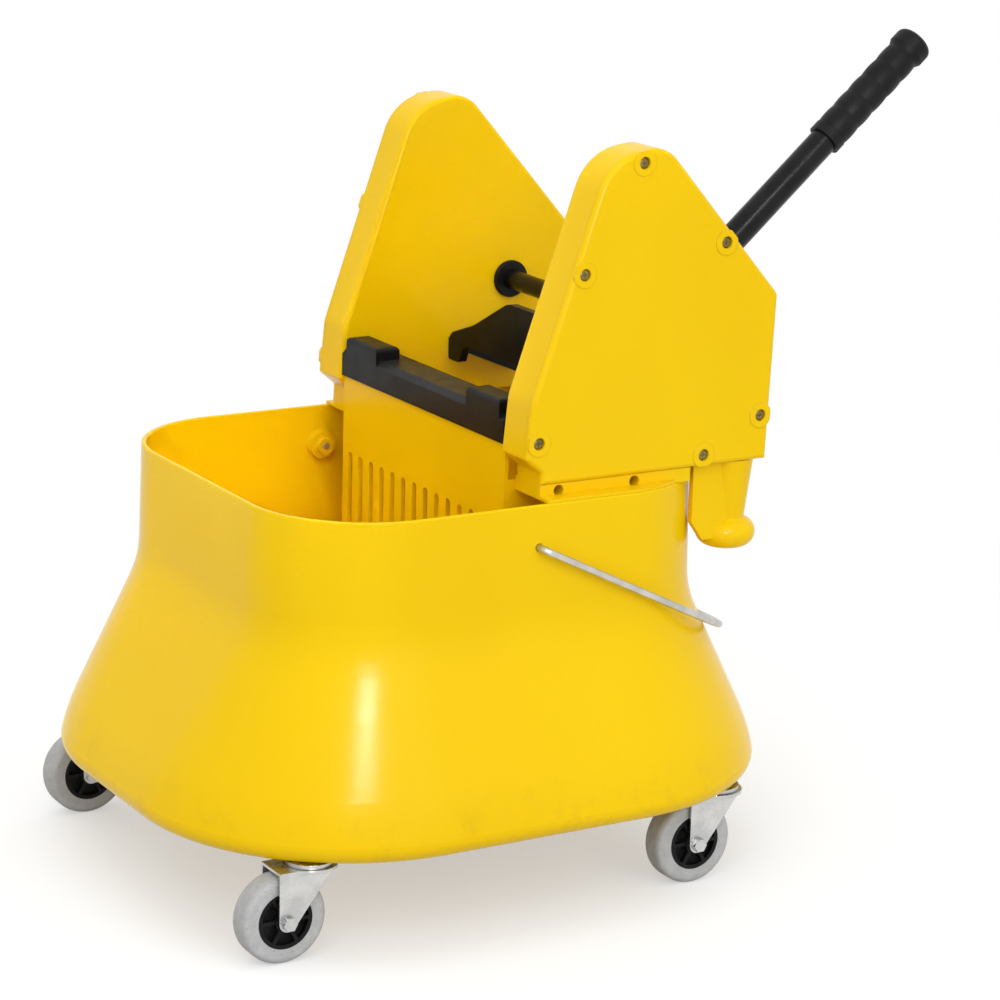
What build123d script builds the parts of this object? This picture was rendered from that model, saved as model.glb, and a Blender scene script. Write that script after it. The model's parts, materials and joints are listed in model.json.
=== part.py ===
"""Mop bucket on four swivel casters, with a lever-driven wringer that presses down into a slotted basket.

Millimetres. +Z is up and +X is the rear, where the lever is. The origin is on the floor under the bucket's
centre. Left is -Y and right is +Y, as a person standing behind the lever sees them.
"""

import math
import os

from build123d import *

os.makedirs("parts", exist_ok=True)

# Clearances
running_gap = 0.05
passing_gap = 0.3
seat_gap = 0.02

# Casters
wheel_diameter = 76.2
wheel_width = 24.0
tyre_rounding = 6.0
hub_diameter = 49.0
hub_width = 28.0
hub_boss_diameter = 19.0
hub_recess_depth = 6.0
hub_rim = 3.5
hub_rib_count = 6
hub_rib_width = 3.0
axle_diameter = 8.0
axle_head_width = 11.0
axle_head_thickness = 5.0
caster_inset_x = 95.0
caster_inset_y = 61.0
caster_trail = 27.0
wheel_to_crown = 2.6
crown_thickness = 2.5
crown_width = 48.0
fork_leg_back = 14.0
fork_leg_thickness = 2.5
fork_leg_gap = 0.6
fork_eye_diameter = 16.0
race_diameter = 42.0
race_thickness = 3.4
stem_diameter = 11.0
stem_length = 29.0
kingpin_diameter = 9.0
kingpin_head_diameter = 17.0
kingpin_head_thickness = 3.0
kingpin_head_rounding = 1.5
stem_chamfer = 1.1

# Bucket shell, with heights above its own base
bucket_height = 274.0
collar_length = 413.0
collar_width = 398.0
collar_corner = 105.0
skirt_length = 590.0
skirt_width = 516.0
skirt_corner = 197.0
flare_start = 166.5
flare_end = 16.0
flare_blend = 21.0
skirt_blend = 36.0
collar_draft = 0.0244
skirt_rounding = 14.0
wall = 4.5
floor_thickness = 5.0
recess_depth = 7.0
lip_width = 9.0
caster_pad_radius = 30.0
socket_wall = 6.5
socket_roof = 3.0
rim_rounding = 1.5

# Bail
bail_wire_diameter = 6.4
bail_x = 9.6
bail_below_rim = 36.0
bail_drop = 113.0
bail_side_gap = 7.0
bail_shoulder_radius = 8.0
bail_corner_radius = 110.0
bail_boss_diameter = 26.0
bail_boss_depth = 8.0
bail_cap_diameter = 16.0
bail_cap_width = 6.0

# Wringer side housings, with heights above their own bottom
ledge_height = 12.5
cover_setback = 12.0
ledge_recess = 3.0
ledge_foot_thickness = 3.0
ledge_foot_margin = 1.0
housing_depth = 43.0
frame_wall = 4.0
cover_thickness = 6.0
cover_lip = 2.5
cover_lip_depth = 5.0
housing_front = 3.0
chin_depth = 15.0
chin_low = 10.0
chin_high = 23.0
knee_lean = 4.4
knee_height = 70.6
apex_front = 75.8
apex_front_height = 270.4
apex_rear = 130.7
apex_rear_height = 278.6
shoulder_overhang = 4.9
shoulder_height = 144.7
housing_behind_leg = 23.5
ledge_ahead_of_rear = 10.0
chin_rounding = 2.5
knee_rounding = 31.0
apex_front_rounding = 48.0
apex_rear_rounding = 32.0
shoulder_rounding = 8.0
throat_edge_rounding = 4.0
cover_edge_rounding = 4.5

# Screws that hold the covers: one on each long side of the housing's outline, at a share of that side
cover_screw_shares = {2: 0.3, 3: 0.54, 4: 0.56, 5: 0.59, 6: 0.73, 7: 0.29}
cover_screw_inset = 10.0
cover_screw_sink = 3.0
cover_screw_recess_gap = 0.5
cover_pad_radius = 11.0
cover_pad_height = 0.6
cover_screw_diameter = 5.0
cover_screw_head = 9.5
cover_screw_head_thickness = 2.2
cover_screw_dome = 1.3
cover_screw_cross_length = 4.8
cover_screw_cross_width = 1.1
cover_screw_spare = 2.0
cover_post_radius = 6.5
cover_post_length = 14.0

# Bolts that hold the housings to the basket
frame_bolt_places = [36.5, 111.5]
frame_bolt_diameter = 5.0
frame_bolt_head = 8.5
frame_bolt_head_thickness = 4.0
frame_bolt_tube = 12.0
frame_bolt_well = 9.5
frame_bolt_seat = 5.0
frame_nut_width = 10.0
frame_nut_thickness = 4.5
frame_bolt_overhang = 2.0

# Basket
basket_wall = 4.0
basket_front = 7.5
basket_behind = 23.5
basket_depth = 149.5
basket_lip = 40.0
basket_rear_drop = 4.0
slot_width = 8.0
slot_pitch = 20.0
slot_count = 14
slot_drop = 30.0
slot_foot = 18.0
floor_slot_length = 54.0

# Front jaw
jaw_front = 5.3
jaw_depth = 35.0
jaw_height = 25.0
jaw_chamfer = 5.0
jaw_block_height = 11.5
jaw_block_depth = 24.0
jaw_block_length = 56.0
jaw_block_end_gap = 8.0
jaw_block_rounding = 4.0
jaw_screw_diameter = 5.0
jaw_screw_head = 9.0
jaw_screw_head_thickness = 2.5
jaw_screw_length = 20.0
jaw_screw_spread = 12.0
jaw_screw_setback = 22.5

# Rear hanger legs
leg_behind_collar = 15.2
leg_inset = 24.0
leg_length = 79.2
leg_top_radius = 22.0
leg_waist_radius = 16.0
leg_waist_drop = 53.0
leg_foot_radius = 26.0
leg_foot_height = 24.3
leg_foot_widest = 10.0
leg_foot_underside = 17.0
leg_foot_shoulder = 18.0
leg_web_near = 8.0
leg_web_far = 14.0
leg_web_reach = 45.0
leg_web_drop = 52.0
leg_web_low_reach = 33.0
leg_web_low_drop = 69.0
leg_screw_diameter = 6.0
leg_screw_head = 12.0
leg_screw_head_thickness = 3.0
leg_screw_length = 34.0
screw_hole_spare = 1.0

# Lever shaft, gears and press pivot
shaft_behind_basket = 2.1
shaft_above_housing = 103.5
shaft_diameter = 18.0
shaft_flat = 7.2
shaft_end_gap = 2.0
stub_diameter = 16.0
stub_flat = 6.4
gear_module = 2.5
pinion_teeth = 21
sector_teeth = 35
sector_teeth_cut = 8
sector_teeth_ahead = 2
pressure_angle = math.radians(20)
gear_backlash = 0.35
gear_start = 8.5
gear_width = 13.0
sector_width = 11.0
sector_hub_radius = 15.5
addendum_factor = 0.95
dedendum_factor = 1.25
bush_flange_diameter = 34.5
bush_flange_thickness = 4.0
bush_flange_rounding = 1.3
bush_wall = 3.0
bush_tail = 4.0
press_bush_flange_diameter = 27.0
press_bush_flange_thickness = 2.0
ring_diameter = 25.0
ring_thickness = 2.0
spring_wire = 2.5
spring_bore_gap = 1.0
spring_turns_width = 8.0

# Lever
lever_angle = 41.3
lever_y = -95.6
socket_hub_radius = 20.0
socket_hub_width = 44.0
socket_radius = 17.5
socket_length = 78.0
tube_diameter = 25.4
tube_wall = 2.0
tube_start = 24.0
lever_length = 362.0
grip_length = 128.0
grip_diameter = 31.4
grip_valley = 0.8
grip_scallops = 5
grip_collar_length = 10.0
grip_end_wall = 11.0
grip_end_diameter = 35.0
grip_end_length = 15.0
grip_end_slope = 5.0
grip_end_rounding = 6.0
lever_bolt_diameter = 8.0
lever_bolt_place = 56.0
lever_bolt_head = 13.0
lever_bolt_head_thickness = 5.5

# Press plate
plate_x = 112.0
plate_thickness = 8.0
plate_end_gap = 14.5
plate_end_low = 3.0
plate_end_high = 27.0
plate_peak = 73.5
plate_peak_half = 26.0
plate_shoulder_in = 85.0
plate_shoulder_high = 42.5
plate_arch = 21.0
plate_arch_half = 102.0
plate_flange_depth = 22.0
plate_flange_thickness = 5.0
plate_gusset_places = [-66, 0, 66]
plate_gusset_height = 24.0
plate_peak_rounding = 24.0
plate_shoulder_rounding = 70.0
plate_end_rounding = 14.0
plate_foot_rounding = 3.0
plate_arch_rounding = 10.0
arm_thickness = 8.0
arm_end_low = 15.0
arm_top_gap = 4.0
arm_boss_radius = 14.0

# Heights and places that follow from the sizes above
wheel_radius = wheel_diameter / 2
crown_bottom = wheel_diameter + wheel_to_crown
race_bottom = crown_bottom + crown_thickness + passing_gap
base = race_bottom + race_thickness
rim = base + bucket_height
flare_top = base + flare_start
flare_bottom = base + flare_end
floor_top = base + recess_depth + floor_thickness
caster_spacing_x = skirt_length - 2 * caster_inset_x
caster_spacing_y = skirt_width - 2 * caster_inset_y
housing_bottom = rim + ledge_height
collar_rear = collar_length / 2
cover_face = collar_width / 2 - cover_setback
throat = cover_face - housing_depth
cover_seat = cover_face - cover_thickness
basket_rear = collar_rear - wall - basket_behind
leg_x = collar_rear + leg_behind_collar
housing_rear = leg_x + housing_behind_leg
ledge_front = housing_front + chin_depth
ledge_rear = basket_rear - ledge_ahead_of_rear
jaw_block_outer = throat - jaw_block_end_gap
jaw_block_inner = jaw_block_outer - jaw_block_length
plate_half_width = throat - plate_end_gap
shaft_x = basket_rear + shaft_behind_basket
press_pivot_x = shaft_x
shaft_z = housing_bottom + shaft_above_housing
centre_distance = gear_module * (pinion_teeth + sector_teeth) / 2
press_pivot_z = shaft_z - centre_distance
gear_in = throat + gear_start
gear_out = gear_in + gear_width
shaft_end = cover_seat - shaft_end_gap
from_below = (Align.CENTER, Align.CENTER, Align.MIN)

caster_corners = {
    "front_left": (-caster_spacing_x / 2, -caster_spacing_y / 2),
    "front_right": (-caster_spacing_x / 2, caster_spacing_y / 2),
    "rear_left": (caster_spacing_x / 2, -caster_spacing_y / 2),
    "rear_right": (caster_spacing_x / 2, caster_spacing_y / 2),
}


def save(piece, label):
    """Name a finished piece and write it to its own file."""
    piece.part.label = label
    export_step(piece.part, f"parts/{label}.step")


def rod(x, z, radius, start, end, mode=Mode.ADD):
    """A round bar along Y, from one distance left of the middle plane to another."""
    with Locations((x, -start, z)):
        Cylinder(radius, end - start, rotation=(90, 0, 0), align=from_below, mode=mode)


def side_plane(distance):
    """The plane that faces left, at a distance left of the middle plane; its axes are X and Z."""
    return Plane.XZ.offset(distance)


def flare(z):
    """How far the bucket's outline has gone from the collar's to the skirt's at a height, from 0 to 1."""

    def ramp(rise, blend):
        if abs(rise) < blend:
            return (rise + blend) ** 2 / (4 * blend)
        return max(0.0, rise)

    widened = ramp(flare_top - z, flare_blend) - ramp(flare_bottom - z, skirt_blend)
    return widened / (flare_top - flare_bottom)


def bucket_outline(z, inset=0.0):
    """The bucket's rounded outline at a height, drawn in all round by the inset."""
    share = flare(z)
    drawn_in = inset - (1 - share) * collar_draft * (rim - z)
    RectangleRounded(
        collar_length + share * (skirt_length - collar_length) - 2 * drawn_in,
        collar_width + share * (skirt_width - collar_width) - 2 * drawn_in,
        collar_corner + share * (skirt_corner - collar_corner) - drawn_in,
    )


def levels_between(low, high, shares):
    """Heights at given shares of the way between two heights."""
    return [low + share * (high - low) for share in shares]


def cut_flat(radius, flat):
    """A round section with one flat, for a shaft that has to turn what it carries."""
    Circle(radius)
    with Locations((0, flat)):
        Rectangle(2 * radius, 2 * radius, align=(Align.CENTER, Align.MIN), mode=Mode.SUBTRACT)


# Bucket shell
slope_bottom = flare_bottom + skirt_blend
slope_top = flare_top - flare_blend
collar_bottom = flare_top + flare_blend
low_bend_levels = levels_between(base, slope_bottom, [0.0, 0.35, 0.7, 1.0])
high_bend_levels = levels_between(slope_top, collar_bottom, [0.0, 0.25, 0.5, 0.75, 1.0])
upper_stages = [[slope_bottom, slope_top], high_bend_levels, [collar_bottom, rim]]
bail_z = rim - bail_below_rim
bail_hole_radius = bail_wire_diameter / 2 + passing_gap
socket_top = base + stem_length + socket_roof

with BuildPart() as bucket_inside:
    for levels in [[floor_top] + low_bend_levels[1:]] + upper_stages:
        for level in levels:
            with BuildSketch(Plane.XY.offset(level)):
                bucket_outline(level, wall)
        loft(ruled=len(levels) == 2)

with BuildPart() as bucket_shell:
    for levels in [low_bend_levels] + upper_stages:
        for level in levels:
            with BuildSketch(Plane.XY.offset(level)):
                bucket_outline(level)
        loft(ruled=len(levels) == 2)
    fillet(bucket_shell.edges().group_by(Axis.Z)[0], skirt_rounding)
    add(bucket_inside.part, mode=Mode.SUBTRACT)
    # The underside is hollow apart from a pad at each caster
    with BuildSketch(Plane.XY.offset(base)):
        bucket_outline(base, skirt_rounding + lip_width)
        with Locations(*caster_corners.values()):
            Circle(caster_pad_radius, mode=Mode.SUBTRACT)
    extrude(amount=recess_depth, mode=Mode.SUBTRACT)
    # Stem sockets rise from the floor inside
    with Locations(*[(x, y, base + recess_depth) for x, y in caster_corners.values()]):
        Cylinder(stem_diameter / 2 + socket_wall, socket_top - base - recess_depth, align=from_below)
    with Locations(*[(x, y, base) for x, y in caster_corners.values()]):
        Cylinder(stem_diameter / 2 + seat_gap, stem_length, align=from_below, mode=Mode.SUBTRACT)
    # Bosses inside the collar carry the bail
    boss_inner = collar_width / 2 - wall - bail_boss_depth
    rod(bail_x, bail_z, bail_boss_diameter / 2, boss_inner, collar_width / 2 - wall / 2)
    rod(bail_x, bail_z, bail_boss_diameter / 2, wall / 2 - collar_width / 2, -boss_inner)
    rod(bail_x, bail_z, bail_hole_radius, -collar_width, collar_width, mode=Mode.SUBTRACT)
    fillet(bucket_shell.edges().group_by(Axis.Z)[-1], rim_rounding)
save(bucket_shell, "bucket_shell")

# Bail: it lies back on the flare behind the bucket
bail_bar_z = bail_z - bail_drop
flare_depth = (skirt_length - collar_length) / 2
rear_surface = collar_rear + collar_draft * (rim - bail_bar_z) + flare(bail_bar_z) * flare_depth
flare_slope = (flare(bail_bar_z - seat_gap) - flare(bail_bar_z)) / seat_gap * flare_depth
bail_bar_x = rear_surface + (bail_wire_diameter / 2 + passing_gap) * math.hypot(1, flare_slope)
bail_reach = math.hypot(bail_bar_x - bail_x, bail_drop)
bail_arm_y = collar_width / 2 + bail_side_gap + bail_wire_diameter / 2
bail_end = boss_inner - bail_cap_width - passing_gap
bail_direction = Vector(bail_bar_x - bail_x, 0, -bail_drop).normalized()
bail_plane = Plane(
    origin=(bail_x, 0, bail_z),
    x_dir=bail_direction,
    z_dir=bail_direction.cross(Vector(0, 1, 0)),
)

with BuildPart() as bail_wire:
    with BuildLine(bail_plane) as bail_path:
        FilletPolyline(
            (0, -bail_end),
            (0, -bail_arm_y),
            (bail_reach, -bail_arm_y),
            (bail_reach, bail_arm_y),
            (0, bail_arm_y),
            (0, bail_end),
            radius=[bail_shoulder_radius, bail_corner_radius, bail_corner_radius, bail_shoulder_radius],
        )
    with BuildSketch(Plane(origin=bail_path.line @ 0, z_dir=bail_path.line % 0)):
        Circle(bail_wire_diameter / 2)
    sweep()
save(bail_wire, "bail_wire")

with BuildPart() as bail_caps:
    rod(bail_x, bail_z, bail_cap_diameter / 2, bail_end, bail_end + bail_cap_width)
    rod(bail_x, bail_z, bail_wire_diameter / 2, bail_end, bail_end + bail_cap_width, mode=Mode.SUBTRACT)
    mirror(about=Plane.XZ)
save(bail_caps, "bail_caps")

# Casters: each trails towards the front
leg_inner = hub_width / 2 + fork_leg_gap
leg_outer = leg_inner + fork_leg_thickness
fork_front = caster_trail + fork_eye_diameter / 2

for corner, (swivel_x, swivel_y) in caster_corners.items():
    axle_x = swivel_x - caster_trail
    wheel_plane = Plane(origin=(axle_x, swivel_y, wheel_radius), x_dir=(1, 0, 0), z_dir=(0, -1, 0))

    with BuildPart() as caster_stem:
        with Locations((swivel_x, swivel_y, race_bottom)):
            Cylinder(race_diameter / 2, race_thickness - seat_gap, align=from_below)
            Cylinder(stem_diameter / 2, race_thickness + stem_length - passing_gap, align=from_below)
        head_bottom = crown_bottom - passing_gap - kingpin_head_thickness
        with Locations((swivel_x, swivel_y, head_bottom)):
            Cylinder(kingpin_diameter / 2, race_bottom - head_bottom, align=from_below)
            Cylinder(kingpin_head_diameter / 2, kingpin_head_thickness, align=from_below)
        chamfer(caster_stem.edges().group_by(Axis.Z)[-1], stem_chamfer)
        fillet(caster_stem.edges().group_by(Axis.Z)[0], kingpin_head_rounding)
    save(caster_stem, f"caster_stem_{corner}")

    with BuildPart() as caster_fork:
        with BuildSketch(Plane.XY.offset(crown_bottom)):
            with Locations((swivel_x, swivel_y)):
                Circle(crown_width / 2)
            with Locations((swivel_x - fork_front / 2, swivel_y)):
                Rectangle(fork_front, 2 * leg_outer)
            with Locations((swivel_x, swivel_y)):
                Circle(kingpin_diameter / 2 + running_gap, mode=Mode.SUBTRACT)
        extrude(amount=crown_thickness)
        for inner in (leg_inner, -leg_outer):
            with BuildSketch(side_plane(inner - swivel_y)):
                with Locations((axle_x, wheel_radius)):
                    Circle(fork_eye_diameter / 2)
                with Locations((swivel_x - fork_front, crown_bottom)):
                    Rectangle(fork_front + fork_leg_back, crown_thickness, align=(Align.MIN, Align.MIN))
                make_hull()
            extrude(amount=fork_leg_thickness)
        with BuildSketch(wheel_plane):
            Circle(axle_diameter / 2 + seat_gap)
        extrude(amount=leg_outer, both=True, mode=Mode.SUBTRACT)
    save(caster_fork, f"caster_fork_{corner}")

    with BuildPart() as caster_axle:
        with BuildSketch(wheel_plane):
            Circle(axle_diameter / 2)
        extrude(amount=leg_outer + axle_head_thickness, both=True)
        with BuildSketch(wheel_plane.offset(leg_outer)):
            RegularPolygon(axle_head_width / 2, 6, major_radius=False)
        extrude(amount=axle_head_thickness)
        with BuildSketch(wheel_plane.offset(-leg_outer - axle_head_thickness)):
            RegularPolygon(axle_head_width / 2, 6, major_radius=False)
        extrude(amount=axle_head_thickness)
    save(caster_axle, f"caster_axle_{corner}")

    with BuildPart() as wheel_hub:
        with BuildSketch(wheel_plane):
            Circle(hub_diameter / 2)
        extrude(amount=wheel_width / 2, both=True)
        recess_floor = wheel_width / 2 - hub_recess_depth
        for face in (recess_floor, -wheel_width / 2):
            with BuildSketch(wheel_plane.offset(face)):
                Circle(hub_diameter / 2 - hub_rim)
                Circle(hub_boss_diameter / 2, mode=Mode.SUBTRACT)
                with PolarLocations(0, hub_rib_count):
                    Rectangle(
                        hub_diameter,
                        hub_rib_width,
                        align=(Align.MIN, Align.CENTER),
                        mode=Mode.SUBTRACT,
                    )
            extrude(amount=hub_recess_depth, mode=Mode.SUBTRACT)
        with BuildSketch(wheel_plane):
            Circle(hub_boss_diameter / 2)
        extrude(amount=hub_width / 2, both=True)
        with BuildSketch(wheel_plane):
            Circle(axle_diameter / 2 + running_gap)
        extrude(amount=hub_width / 2, both=True, mode=Mode.SUBTRACT)
    save(wheel_hub, f"wheel_hub_{corner}")

    with BuildPart() as wheel_tyre:
        with BuildSketch(wheel_plane):
            Circle(wheel_radius)
            Circle(hub_diameter / 2, mode=Mode.SUBTRACT)
        extrude(amount=wheel_width / 2, both=True)
        fillet(wheel_tyre.edges().filter_by(GeomType.CIRCLE).group_by(SortBy.RADIUS)[-1], tyre_rounding)
    save(wheel_tyre, f"wheel_tyre_{corner}")

# Side housings of the wringer: the outline, seen from the left
housing_corners = [
    (ledge_front, housing_bottom),
    (ledge_front, housing_bottom + chin_low),
    (housing_front, housing_bottom + chin_high),
    (housing_front + knee_lean, housing_bottom + knee_height),
    (apex_front, housing_bottom + apex_front_height),
    (apex_rear, housing_bottom + apex_rear_height),
    (housing_rear + shoulder_overhang, housing_bottom + shoulder_height),
    (housing_rear, housing_bottom),
]


def housing_side_point(side, share, inset):
    """A point at a share of one side of the housing's outline, moved into the housing."""
    start_x, start_z = housing_corners[side]
    end_x, end_z = housing_corners[(side + 1) % len(housing_corners)]
    length = math.hypot(end_x - start_x, end_z - start_z)
    inward_x, inward_z = (end_z - start_z) / length, (start_x - end_x) / length
    x = start_x + share * (end_x - start_x) + inset * inward_x
    z = start_z + share * (end_z - start_z) + inset * inward_z
    return x, z


with BuildSketch(Plane.XZ) as housing_outline:
    with BuildLine():
        FilletPolyline(
            *housing_corners,
            radius=[
                chin_rounding,
                chin_rounding,
                knee_rounding,
                apex_front_rounding,
                apex_rear_rounding,
                shoulder_rounding,
            ],
        )
        Line(housing_corners[-1], housing_corners[0])
    make_face()

cover_screws_at = []
for side, share in cover_screw_shares.items():
    cover_screws_at.append(housing_side_point(side, share, cover_screw_inset))
cover_screw_end = cover_seat - cover_post_length + cover_screw_spare
screw_head_seat = cover_face - cover_screw_sink
screw_head_top = screw_head_seat + cover_screw_head_thickness
bolt_z = rim + ledge_height / 2
ledge_face = cover_face - ledge_recess
bush_radius = shaft_diameter / 2 + bush_wall
press_bush_radius = stub_diameter / 2 + bush_wall
jaw_bottom = rim + basket_lip
jaw_screw_z = jaw_bottom + jaw_height / 2
jaw_screws_x = [jaw_front + jaw_screw_setback + side * jaw_screw_spread / 2 for side in (-1, 1)]
leg_y = cover_face - leg_inset

with BuildPart() as side_frame_left:
    with BuildSketch(side_plane(throat)):
        add(housing_outline.sketch_local)
    extrude(amount=cover_seat - throat)
    throat_edges = side_frame_left.edges().group_by(Axis.Y)[-1].sort_by(Axis.Z)[1:]
    fillet(throat_edges, throat_edge_rounding)
    with BuildSketch(side_plane(throat + frame_wall)):
        offset(housing_outline.sketch_local, amount=-frame_wall)
    extrude(amount=cover_seat - throat - frame_wall, mode=Mode.SUBTRACT)
    # The ledge under the housing stands on the bucket's rim
    with BuildSketch(Plane.XY.offset(rim)):
        with Locations((ledge_front, -throat)):
            Rectangle(ledge_rear - ledge_front, ledge_face - throat, align=(Align.MIN, Align.MAX))
        with Locations((ledge_front + frame_wall, -throat - frame_wall)):
            Rectangle(
                ledge_rear - ledge_front,
                ledge_face - throat - 2 * frame_wall,
                align=(Align.MIN, Align.MAX),
                mode=Mode.SUBTRACT,
            )
    extrude(amount=ledge_height)
    with BuildSketch(Plane.XY.offset(rim)):
        bucket_outline(rim, ledge_foot_margin)
        with Locations((ledge_front, frame_wall - ledge_face)):
            Rectangle(
                ledge_rear - ledge_front,
                collar_width,
                align=(Align.MIN, Align.MAX),
                mode=Mode.INTERSECT,
            )
    extrude(amount=ledge_foot_thickness)
    for bolt_x in frame_bolt_places:
        rod(bolt_x, bolt_z, frame_bolt_tube / 2, throat, ledge_face)
        rod(bolt_x, bolt_z, frame_bolt_well / 2, throat + frame_bolt_seat, ledge_face, mode=Mode.SUBTRACT)
        rod(bolt_x, bolt_z, frame_bolt_diameter / 2 + seat_gap, throat, ledge_face, mode=Mode.SUBTRACT)
    # Posts for the cover's screws grow out of the housing's edge
    with BuildSketch(side_plane(cover_seat - cover_post_length)):
        with Locations(*cover_screws_at):
            Circle(cover_post_radius)
        add(housing_outline.sketch_local, mode=Mode.INTERSECT)
    extrude(amount=cover_post_length)
    for screw_x, screw_z in cover_screws_at:
        hole_radius = cover_screw_diameter / 2 + seat_gap
        rod(screw_x, screw_z, hole_radius, cover_screw_end, cover_seat, mode=Mode.SUBTRACT)
    # Seats of the bushes, the jaw's screws and the leg's screw
    wall_holes = [(shaft_x, shaft_z, bush_radius), (press_pivot_x, press_pivot_z, press_bush_radius)]
    for screw_x in jaw_screws_x:
        wall_holes.append((screw_x, jaw_screw_z, jaw_screw_diameter / 2))
    for hole_x, hole_z, radius in wall_holes:
        rod(hole_x, hole_z, radius + seat_gap, throat, throat + frame_wall, mode=Mode.SUBTRACT)
    with Locations((leg_x, -leg_y, housing_bottom)):
        Cylinder(leg_screw_diameter / 2 + seat_gap, frame_wall, align=from_below, mode=Mode.SUBTRACT)
save(side_frame_left, "side_frame_left")

with BuildPart() as side_frame_right:
    mirror(side_frame_left.part, about=Plane.XZ)
save(side_frame_right, "side_frame_right")

with BuildPart() as side_cover_left:
    with BuildSketch(side_plane(cover_seat)):
        add(housing_outline.sketch_local)
    extrude(amount=cover_thickness)
    fillet(side_cover_left.edges().group_by(Axis.Y)[0], cover_edge_rounding)
    with BuildSketch(side_plane(cover_seat)):
        with Locations(*cover_screws_at):
            Circle(cover_pad_radius)
        add(housing_outline.sketch_local, mode=Mode.INTERSECT)
    extrude(amount=cover_thickness + cover_pad_height)
    # A lip inside the edge finds the cover's place in the frame
    with BuildSketch(side_plane(cover_seat - cover_lip_depth)):
        offset(housing_outline.sketch_local, amount=-frame_wall - passing_gap)
        offset(
            housing_outline.sketch_local,
            amount=-frame_wall - passing_gap - cover_lip,
            mode=Mode.SUBTRACT,
        )
        with Locations(*cover_screws_at):
            Circle(cover_post_radius + passing_gap, mode=Mode.SUBTRACT)
    extrude(amount=cover_lip_depth)
    for screw_x, screw_z in cover_screws_at:
        hole_radius = cover_screw_diameter / 2 + seat_gap
        recess_radius = cover_screw_head / 2 + cover_screw_recess_gap
        pad_face = cover_face + cover_pad_height
        rod(screw_x, screw_z, hole_radius, cover_seat, cover_face, mode=Mode.SUBTRACT)
        rod(screw_x, screw_z, recess_radius, screw_head_seat, pad_face, mode=Mode.SUBTRACT)
save(side_cover_left, "side_cover_left")

with BuildPart() as side_cover_right:
    mirror(side_cover_left.part, about=Plane.XZ)
save(side_cover_right, "side_cover_right")

with BuildPart() as cover_screws_left:
    for screw_x, screw_z in cover_screws_at:
        rod(screw_x, screw_z, cover_screw_head / 2, screw_head_seat, screw_head_top)
    fillet(cover_screws_left.edges().group_by(Axis.Y)[0], cover_screw_dome)
    for screw_x, screw_z in cover_screws_at:
        with Locations((screw_x, -screw_head_top, screw_z)):
            for turn in (0, 90):
                Box(
                    cover_screw_cross_length,
                    cover_screw_head_thickness,
                    cover_screw_cross_width,
                    rotation=(0, turn, 0),
                    mode=Mode.SUBTRACT,
                )
        rod(screw_x, screw_z, cover_screw_diameter / 2, cover_screw_end + screw_hole_spare, screw_head_seat)
save(cover_screws_left, "cover_screws_left")

with BuildPart() as cover_screws_right:
    mirror(cover_screws_left.part, about=Plane.XZ)
save(cover_screws_right, "cover_screws_right")

# Basket
basket_bottom = rim - basket_depth
basket_side_top = housing_bottom - frame_wall
basket_length = basket_rear - basket_front
basket_mid = (basket_front + basket_rear) / 2
slot_top = rim - slot_drop
slot_bottom = basket_bottom + slot_foot

with BuildPart() as basket:
    with Locations((basket_mid, 0, basket_bottom)):
        Box(basket_length, 2 * throat, jaw_bottom - basket_bottom, align=from_below)
    with Locations((basket_mid, 0, basket_bottom + basket_wall)):
        Box(
            basket_length - 2 * basket_wall,
            2 * (throat - basket_wall),
            jaw_bottom - basket_bottom,
            align=from_below,
            mode=Mode.SUBTRACT,
        )
    # The sides stop below the housings and the rear is lower still, for the press arms
    with Locations((basket_front + basket_wall, 0, basket_side_top)):
        Box(
            basket_length,
            4 * throat,
            jaw_bottom,
            align=(Align.MIN, Align.CENTER, Align.MIN),
            mode=Mode.SUBTRACT,
        )
    with Locations((basket_rear - basket_wall, 0, rim - basket_rear_drop)):
        Box(
            2 * basket_wall,
            2 * (throat - basket_wall),
            jaw_bottom,
            align=(Align.MIN, Align.CENTER, Align.MIN),
            mode=Mode.SUBTRACT,
        )
    # Drain slots through the front, the rear and the floor
    with BuildSketch(Plane.YZ.offset(basket_front)):
        with Locations((0, (slot_top + slot_bottom) / 2)):
            with GridLocations(slot_pitch, 1, slot_count, 1):
                SlotOverall(slot_top - slot_bottom, slot_width, rotation=90)
    extrude(amount=basket_length, mode=Mode.SUBTRACT)
    with BuildSketch(Plane.XY.offset(basket_bottom)):
        with Locations((basket_mid, 0)):
            with GridLocations(floor_slot_length + slot_width, slot_pitch, 2, slot_count):
                SlotOverall(floor_slot_length, slot_width)
    extrude(amount=basket_wall, mode=Mode.SUBTRACT)
    for bolt_x in frame_bolt_places:
        rod(bolt_x, bolt_z, frame_bolt_diameter / 2 + seat_gap, -throat, throat, mode=Mode.SUBTRACT)
save(basket, "basket")

with BuildPart() as frame_bolts:
    for bolt_x in frame_bolt_places:
        head_seat = throat + frame_bolt_seat
        shank_end = throat - basket_wall - frame_nut_thickness - frame_bolt_overhang
        rod(bolt_x, bolt_z, frame_bolt_head / 2, head_seat, head_seat + frame_bolt_head_thickness)
        rod(bolt_x, bolt_z, frame_bolt_diameter / 2, shank_end, head_seat)
        with BuildSketch(side_plane(throat - basket_wall - frame_nut_thickness)):
            with Locations((bolt_x, bolt_z)):
                RegularPolygon(frame_nut_width / 2, 6, major_radius=False)
        extrude(amount=frame_nut_thickness)
    mirror(about=Plane.XZ)
save(frame_bolts, "frame_bolts")

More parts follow.
